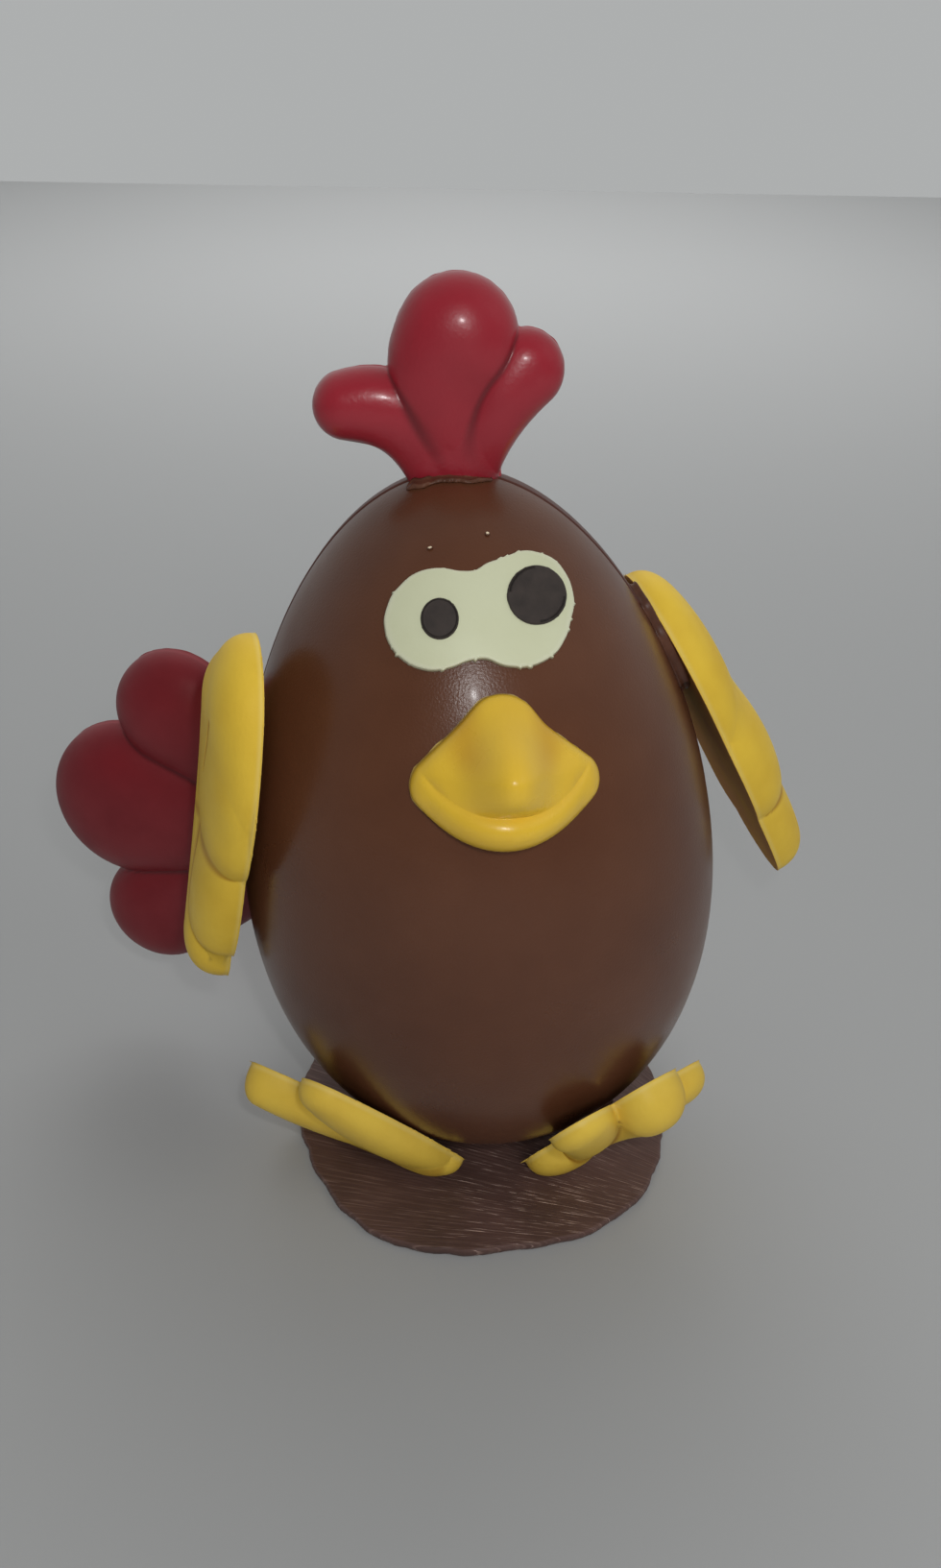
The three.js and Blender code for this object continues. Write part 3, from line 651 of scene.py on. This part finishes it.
LEFT_FEATHERS = [
    dict(spine=[(1, 13.8), (1, 2), (1, -4)], wide=(16.6, 19.6, 19.5), high=(9.6, 9.0, 8.4)),
    dict(spine=[(1, -6), (1, -10), (1.6, -13.8)], wide=(19.5, 19.4, 18.6), high=(8.4, 8.8, 9.2), soft=3.0),
    dict(spine=[(1, -12), (3.5, -34), (2.5, -48)], wide=(14, 14.6, 12.6), high=(6, 9.0, 9.9)),
    dict(spine=[(-5.5, 12), (-18, -28), (-2, -62)], wide=(12, 10.5, 12), high=(9.8, 8.8, 10.2)),
]
RIGHT_FEATHERS = [
    dict(spine=[(0, 13.8), (-0.2, 2), (0, -7)], wide=(16.8, 20.4, 20), high=(8.8, 10.3, 8.6)),
    dict(spine=[(0, -12), (-0.2, -20), (0, -29)], wide=(19.6, 20.4, 19.8), high=(8.6, 12.4, 12.8), soft=3.0),
    dict(spine=[(-1, -12), (-1.5, -42), (0, -58)], wide=(14.7, 15.1, 12.6), high=(7.7, 10.8, 11)),
    dict(spine=[(8, -12), (11.5, -35.7), (12.6, -50)], wide=(10.5, 10.5, 8.8), high=(6.6, 9, 8)),
]
# For each wing: its feathers, its seat, a seed, and the place, half size and turn of its melted chocolate.
WINGS = [
    ("left", LEFT_FEATHERS, frame_of((-55.3, -13.9, 122.0), -164.3, 7.7, -13.2),
     4, (-2, -18.8), (7, 13), 0),
    ("right", RIGHT_FEATHERS, frame_of((47.4, 23.5, 125.6), 12.9, 29.1, 2.4),
     5, (-7.0, 18.0), (8.5, 16.5), -12),
]
CUT_START = (5.1, 13.0)
CUT_END = (1.5, -3.2)
CUT_DEEP = 0.6
CUT_WIDE = 0.55
yellow_satin = moulded_chocolate(
    "yellow_chocolate_satin", colour=srgb(240, 202, 69), deep=srgb(190, 136, 32), pale=srgb(240, 218, 136),
    smear_and_shade=srgb(200, 146, 84), smooth=0.45, dull=0.6, patchiness=0.25, grain=0.2, gleam=0.25)


def scored(height):
    """The same height with a short cut along its crest, as deep in colour as a crease."""
    def cut(x, y):
        whole, fold = height(x, y)
        (ax, ay), (bx, by) = CUT_START, CUT_END
        share = ((x - ax) * (bx - ax) + (y - ay) * (by - ay)) / ((bx - ax) ** 2 + (by - ay) ** 2)
        share = np.clip(share, 0, 1)
        off = np.hypot(x - ax - share * (bx - ax), y - ay - share * (by - ay))
        deep = np.exp(-(off / CUT_WIDE) ** 2)
        return whole - CUT_DEEP * deep, np.maximum(fold, 2.0 * deep)
    return cut


for side, feathers, seat, seed, touch, size, turn in WINGS:
    wing = lobed(feathers, neck=(0, 10), fade=30, crease=(0.7, 2))
    if side == "left":
        wing = scored(wing)
    yellow_wing = cast("yellow_wing_" + side, seat, wing, (0, -8), 20 + seed, spokes=500, rows=88, rim=0.6,
                       burrs=0.5)
    yellow_wing.data.materials.append(yellow_satin)
    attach(yellow_wing, "root")
    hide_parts("wing_" + side)
    glue("wing_glue_" + side, seat, touch, size, turn, seed, "glue_wing_" + side)

# ---------------------------------------------------------------- Tail
# A fan of three round feathers cast in red chocolate, painted a darker red for the shade it lies in behind
# the left-hand wing, with its flat back to the rear. Its neck is melted onto the egg's side behind the
# left-hand wing.

TAIL_FEATHERS = [
    dict(spine=[(3, -10), (-23, -8.5), (-48, -6.2)], wide=(9, 17, 23.3), high=(8, 11, 13)),
    dict(spine=[(3, -9), (-12.5, 10.5), (-31.5, 23.6)], wide=(9, 13.3, 17.1), high=(7, 9, 11)),
    dict(spine=[(3, -11), (-19.5, -29.5), (-43, -42)], wide=(9, 13.3, 16.8), high=(7, 9, 11)),
    dict(spine=[(6, -10), (0, -10), (-6, -10)], wide=(11, 12, 13), high=(7, 7, 7)),
]
# Painted shade: the tail's red, its deep and its pale are darker than the comb's, for the shade behind the
# left-hand wing.
red_dull_shaded = moulded_chocolate(
    "red_chocolate_dull_shaded", colour=srgb(126, 28, 37), deep=srgb(84, 14, 22), pale=srgb(160, 60, 66),
    smear_and_shade=srgb(112, 34, 36), smooth=0.45, dull=0.6, patchiness=0.3, grain=0.2)
fan = lobed(TAIL_FEATHERS, neck=(0, -10), fade=20, crease=(0.8, 5))
tail = cast("red_tail", frame_of((-52.5, 32, 83), -104, 0), fan, (-5, -10), 31, spokes=440, rows=80, rim=1.6)
tail.data.materials.append(red_dull_shaded)
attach(tail, "root")
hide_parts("tail")

# ---------------------------------------------------------------- Beak
# A duck's bill cast onto the egg in glossy yellow chocolate: two flanks run out to the corners of the mouth,
# a rounded ridge rises between them, and a fat lip lies below the line of the mouth.

MOUTH = dict(x=0.3, y=-7.9, rise=2.2, floor=8.4, fall=0.018)
RIDGE = dict(x=0.3, high=10.2, top=16, full=-1.0, narrow=4.4, broad=7.6)
FLANK = dict(high=4.7, slope=0.08, flare=0.004)
LIP = dict(high=10.4, fall=0.02)
BILL_LOBES = [
    dict(spine=[(-0.9, 9.5), (-7.5, 4.5), (-14.2, -0.4)], wide=(6.1, 5.0, 3.6), high=(5, 6.5, 5)),
    dict(spine=[(1.5, 8.5), (9.2, 3.6), (16, -0.8)], wide=(6.2, 4.3, 3.4), high=(5, 6, 5)),
    dict(spine=[(-12.5, -1.5), (0.8, -2), (14.5, -2)], wide=(4.5, 9, 4.5), high=(5.5, 7.5, 5.5)),
    dict(spine=[(-15.4, -3.4), (-0.8, -16.9), (16.5, -3.4)], wide=(2.8, 5.5, 2.8), high=(4.5, 10.5, 4.5)),
]


def smooth(low, high, value):
    """Share that eases from 0 to 1 as a value goes from low to high."""
    t = np.clip((value - low) / (high - low), 0, 1)
    return t * t * (3 - 2 * t)


def bill_top(x, y):
    """Height of the bill: a bell-shaped ridge over low flanks, the crease of the mouth, and the lip; and
    where painted shade lies on it.
    """
    off = np.abs(x - MOUTH["x"])
    above = y - MOUTH["y"] - MOUTH["rise"] * (off / 10) ** 2.6
    share = smooth(RIDGE["top"], RIDGE["full"], y)
    wide = RIDGE["narrow"] + (RIDGE["broad"] - RIDGE["narrow"]) * share
    ridge = RIDGE["high"] * share * np.exp(-(np.abs(x - RIDGE["x"]) / wide) ** 2.2)
    flank = FLANK["high"] - FLANK["slope"] * np.maximum(y, 0) + FLANK["flare"] * off ** 2
    floor = MOUTH["floor"] - MOUTH["fall"] * off ** 2
    lip = LIP["high"] - LIP["fall"] * off ** 2
    inner = np.sqrt(above ** 2 + 3.0) - 1.73
    nose = (1 - (1 - np.clip(inner / 7, 0, 1)) ** 2.4) ** (1 / 2.4)
    roll = (1 - (1 - np.clip(inner / 3.4, 0, 1)) ** 2) ** 0.5
    bill = np.where(above > 0, floor + (flank + ridge - floor) * nose, floor + (lip - floor) * roll)
    corner = smooth(14.0, 18.5, off)
    # Painted shade: a faint line in the mouth's crease and darker patches on the flanks beside the ridge.
    fold = 0.08 * np.exp(-(above / 1.2) ** 2) * (1 - corner)
    valley_shade = 0.5 * np.exp(-((off - 8.5) / 3.5) ** 2) * smooth(4, 12, above)
    return bill + (0.5 * (flank + lip) - bill) * corner, np.maximum(fold, valley_shade)


yellow_gloss = moulded_chocolate(
    "yellow_chocolate_glossy", colour=srgb(232, 191, 57), deep=srgb(190, 134, 26), pale=srgb(246, 228, 165),
    smear_and_shade=srgb(200, 146, 84), smooth=0.26, dull=0.36, patchiness=0.15, grain=0.2, coat=0.2)
beak_seat = frame_of((2.0, -40.9, 133.3), -81.8, 22.3)
bill = lobed(BILL_LOBES, neck=(0, 0), fade=20, crease=(3, 5))
beak = cast("yellow_beak", beak_seat, bill, (0.8, -2), 41, rows=110, rim=0.8, flash=0.2, edge_highlight=2.2,
            ground=egg_under(beak_seat), dome=bill_top)
beak.data.materials.append(yellow_gloss)
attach(beak, "root")
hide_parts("beak")

# ---------------------------------------------------------------- Eyes
# One cut-out plate of cream-white chocolate, soft enough when it went on to hug the egg, with two discs of
# dark chocolate pressed on it. The knife left small burrs on the plate's edge.

PLATE_THICK = 1.7
PUPIL_THICK = 0.6
EYE_LOBES = [
    dict(spine=[(-8.7, -0.5), (-0.2, -0.3), (7.3, 0.4)], wide=(10.6, 9.3, 11.4), high=(1, 1, 1)),
    dict(spine=[(7.3, 0.4), (9.5, 2.1), (11.7, 5.5)], wide=(11.4, 10.3, 8.5), high=(1, 1, 1)),
]
PUPILS = [("left", (-8.3, -0.9), 3.8, 4.3, 5), ("right", (12.1, 4), 6.9, 6.0, 46)]
eye_seat = frame_of((-3.3, -25.5, 161.5), -83.8, 38.1)
eye_skin = egg_under(eye_seat)


def wafer(name, centre, reach, below, thick, ragged, seed, rows=24):
    """A thin slice that follows the egg, from below to below + thick over its skin, with a soft edge."""
    turns = np.linspace(0, 2 * math.pi, len(reach), endpoint=False)
    way = np.stack([np.cos(turns), np.sin(turns)], -1)
    path = raised(np.array(centre) + reach[:, None] * way, 0)[0]
    burrs = np.clip(uneven(path, 0.8, seed + 1) * 5 - 1.6, 0, 0.9)
    cut = reach + ragged * (0.7 * uneven(path, 4, seed) + burrs)
    profile = [(part, 0.0, thick) for part in np.linspace(0.04, 0.93, rows - 1)]
    profile += [(1, -0.45, thick), (1, -0.2, thick - 0.06), (1, -0.04, thick - 0.22), (1, 0.0, thick - 0.5),
                (1, 0.05, 0.15), (1, 0.0, 0.0), (0.5, 0.0, 0.0)]
    rings = []
    for part, inset, high in profile:
        flat = np.array(centre) + (part * (cut + inset))[:, None] * way
        rings.append(raised(flat, eye_skin(flat) + below + high))
    rings = set_at(np.vstack(rings), eye_seat)
    middle = np.array([centre])
    ends = [set_at(np.append(middle, eye_skin(middle) + below + high), eye_seat) for high in (thick, 0.0)]
    # The edge rings carry the plate's painted rim highlight.
    rim_highlights = np.zeros(rings.shape[:2])
    rim_highlights[rows - 1:-1] = 1
    return ring_mesh(name, rings, *ends, rim=rim_highlights)


cream = moulded_chocolate(
    "cream_white_chocolate", colour=srgb(213, 216, 183), deep=srgb(198, 200, 160), pale=srgb(224, 224, 200),
    smear_and_shade=srgb(205, 200, 160), smooth=0.42, dull=0.55, patchiness=0.35, grain=0.15)
turns = np.linspace(0, 2 * math.pi, 480, endpoint=False)
eye_outline = lobed(EYE_LOBES, neck=(0, 0), fade=30, crease=(0.5, 0.5))
plate = wafer("eye_plate_cream", (0, 0), outline_of(eye_outline, (0, 0), turns), 0.0, PLATE_THICK, 0.45, 51)
plate.data.materials.append(cream)
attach(plate, "root")
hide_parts("eye_plate")

dark, tree, shader = finish("dark_chocolate_matt")
tone = cocoa(tree, srgb(66, 58, 54), srgb(50, 44, 41), 300.0)
dust = place(tree, "ShaderNodeTexVoronoi", {"Vector": here(tree), "Scale": 420.0}).outputs["Distance"]
specks = calc(tree, "MULTIPLY", stretch(tree, dust, 0.09, 0.04), 0.4)
feed(shader, {
    "Base Color": blend(tree, specks, tone.outputs["Color"], srgb(150, 140, 130)),
    "Roughness": stretch(tree, tone.outputs["Cloud"], 0.0, 1.0, 0.6, 0.75),
    "Normal": relief(tree, tone.outputs["Cloud"], 0.2, 0.0002),
})
turns = np.linspace(0, 2 * math.pi, 240, endpoint=False)
for side, centre, long, short, turn in PUPILS:
    way = turns - math.radians(turn)
    reach = 1 / np.hypot(np.cos(way) / long, np.sin(way) / short)
    pupil = wafer("pupil_disc_" + side, centre, reach, PLATE_THICK, PUPIL_THICK, 0.08, 61, rows=10)
    pupil.data.materials.append(dark)
    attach(pupil, "root")
    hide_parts("pupil_" + side)

# ---------------------------------------------------------------- Comb
# A cock's comb of three plump lobes cast in red chocolate, set upright on the egg's tip with its flat back to
# the rear. A thin bead of chocolate melted at its foot holds it.

COMB_LOBES = [
    dict(spine=[(7, -2), (-4.8, 16.5), (4, 27.4)], wide=(3.8, 10.2, 12.9), high=(4.2, 7.4, 9.4)),
    dict(spine=[(-2.5, -4), (-3.9, 16), (-20.7, 15.2)], wide=(5.2, 8.3, 7.2), high=(4.0, 6.0, 6.9)),
    dict(spine=[(5.4, 0.8), (9, 11.5), (17.6, 20)], wide=(6.1, 7.2, 8.5), high=(4.4, 6.8, 6.3)),
    dict(spine=[(1.5, -8), (1.5, -3.5), (1.5, 1)], wide=(10.2, 9.7, 8.5), high=(4.2, 4.4, 4.5)),
]
WELD_LEFT = -19.6
WELD_LONG = 18.6
WELD_FRONT = 0.9
WELD_DEEP = 3.6
WELD_THICK = 0.75
red_gloss = moulded_chocolate(
    "red_chocolate_satin", colour=srgb(160, 39, 52), deep=srgb(108, 20, 30), pale=srgb(196, 92, 98),
    smear_and_shade=srgb(128, 40, 44), smooth=0.3, dull=0.4, patchiness=0.25, grain=0.25, coat=0.25)
comb_seat = frame_of((-10.7, 10.2, 181.4), -90, 0, 4.8)
crest = lobed(COMB_LOBES, neck=(2, 0), fade=9, crease=(0.6, 3))
comb = cast("red_comb", comb_seat, crest, (1.5, 4), 71, spokes=440, rows=80)
comb.data.materials.append(red_gloss)
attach(comb, "root")
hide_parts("comb")

# Along the weld, from left to right: where its outer lip runs, how far it goes in under the comb, how high it
# is, and how it closes at its ends.
share = np.linspace(0, 1, 150)
lip_x = WELD_LEFT + WELD_LONG * share
lip_y = WELD_FRONT + 3.6 * np.clip(share - 0.72, 0, 1) ** 2 / 0.08
lip_y = lip_y + 1.2 * np.clip(0.14 - share, 0, 1) ** 2 / 0.02
path = np.stack([lip_x, lip_y, 0 * lip_x], -1)
lip_y = lip_y + 0.9 * uneven(path, 2.6, 81) + 0.5 * uneven(path, 1.1, 84)
deep = WELD_DEEP - 1.2 * share + 0.6 * uneven(path, 4, 85)
thick = WELD_THICK + 0.5 * uneven(path, 2.0, 82) + 0.35 * np.exp(-((share - 0.09) / 0.05) ** 2)
closed = np.sqrt(np.clip(np.minimum(share, 1 - share) * 16, 0.02, 1))
crown = (np.array([0, 0, 180.0]), np.array([1.0, 0, 0]), np.array([0, 1.0, 0]), np.array([0, 0, 1.0]))
skin_at = egg_under(crown)
rows = []
for out, high in ((0.0, -0.1), (-0.12, 0.25), (-0.05, 0.6), (0.12, 0.92), (0.3, 1.0), (0.55, 0.85),
                  (0.8, 0.66), (1.2, 0.5), (1.8, 0.45), (2.4, 0.5), (3.0, 0.7), (3.6, 1.0), (3.6, -0.1)):
    flat = np.stack([lip_x, lip_y + np.minimum(out, deep) * closed], -1)
    rows.append(raised(flat, skin_at(flat) + high * thick * closed)[0])
roll = set_at(np.stack(rows, 1), crown)
bead = ring_mesh("comb_bead", roll, roll[0].mean(0), roll[-1].mean(0))
bead.data.materials.append(melted)
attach(bead, "root")
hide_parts("comb_weld")

# ---------------------------------------------------------------- Setting
# A plain pale floor, soft studio light all round with a small bright lamp beside the camera, and the camera,
# a little above the egg and looking down at it.

FLOOR = 3.0
CAMERA_AT = Vector((-4.6, -262.4, 258.5)) * MM
CAMERA_RIGHT = Vector((0.99985, 0.0087, 0.0151))
CAMERA_DOWN = Vector((0.0175, -0.4999, -0.8659))
CAMERA_AHEAD = Vector((0.0, 0.8660, -0.5))
LENS = 28.66
SENSOR = 36.0
MIDDLE = (0, 0, 0.11)
floor_mesh = bpy.data.meshes.new("floor")
floor_mesh.from_pydata([(-FLOOR, -FLOOR, 0), (FLOOR, -FLOOR, 0), (FLOOR, FLOOR, 0), (-FLOOR, FLOOR, 0)], [],
                       [(0, 1, 2, 3)])
floor = bpy.data.objects.new("floor", floor_mesh)
bpy.context.scene.collection.objects.link(floor)
paper, tree, shader = finish("pale_floor")
feed(shader, {"Base Color": srgb(168, 169, 169), "Roughness": 0.85})
floor.data.materials.append(paper)

camera_data = bpy.data.cameras.new("camera")
camera_data.sensor_fit = "VERTICAL"
camera_data.sensor_height = SENSOR
camera_data.lens = LENS
camera_data.clip_start = 0.01
camera = bpy.data.objects.new("camera", camera_data)
camera.matrix_world = Matrix((CAMERA_RIGHT, -CAMERA_DOWN, -CAMERA_AHEAD)).transposed().to_4x4()
camera.location = CAMERA_AT
bpy.context.scene.collection.objects.link(camera)
bpy.context.scene.camera = camera


def lamp(name, at, towards, size, watts):
    """A round lamp of a size, at a place and turned towards another."""
    data = bpy.data.lights.new(name, "AREA")
    data.shape = "DISK"
    data.size = size
    data.energy = watts
    light = bpy.data.objects.new(name, data)
    light.location = at
    light.rotation_euler = (Vector(towards) - Vector(at)).to_track_quat("-Z", "Y").to_euler()
    bpy.context.scene.collection.objects.link(light)
    return light


lamp("near_lamp", CAMERA_AT + Vector((0.02, 0.0, 0.03)), MIDDLE, 0.012, 0.14)
soft = [
    lamp("soft_front", (0.12, -0.85, 0.62), MIDDLE, 0.45, 3.4),
    lamp("soft_right", (1.0, -0.5, 0.9), MIDDLE, 0.8, 2.2),
    lamp("soft_behind", (0.0, 1.3, 1.0), (0, 1.3, 0), 1.6, 9.5),
    lamp("soft_far", (0.0, 2.9, 1.5), (0, 2.9, 0), 2.4, 26.0),
]
for light in soft:
    light.visible_glossy = False

world = bpy.data.worlds.new("studio")
world.use_nodes = True
sky = world.node_tree
way = place(sky, "ShaderNodeTexCoord").outputs["Generated"]
parts = place(sky, "ShaderNodeSeparateXYZ", {0: way})
back = stretch(sky, parts.outputs["Y"], -0.6, 0.5)
feed(sky.nodes["Background"], {"Color": blend(sky, back, (0.10, 0.10, 0.10, 1), (0.42, 0.43, 0.43, 1))})
bpy.context.scene.world = world
bpy.context.scene.view_settings.view_transform = "Standard"
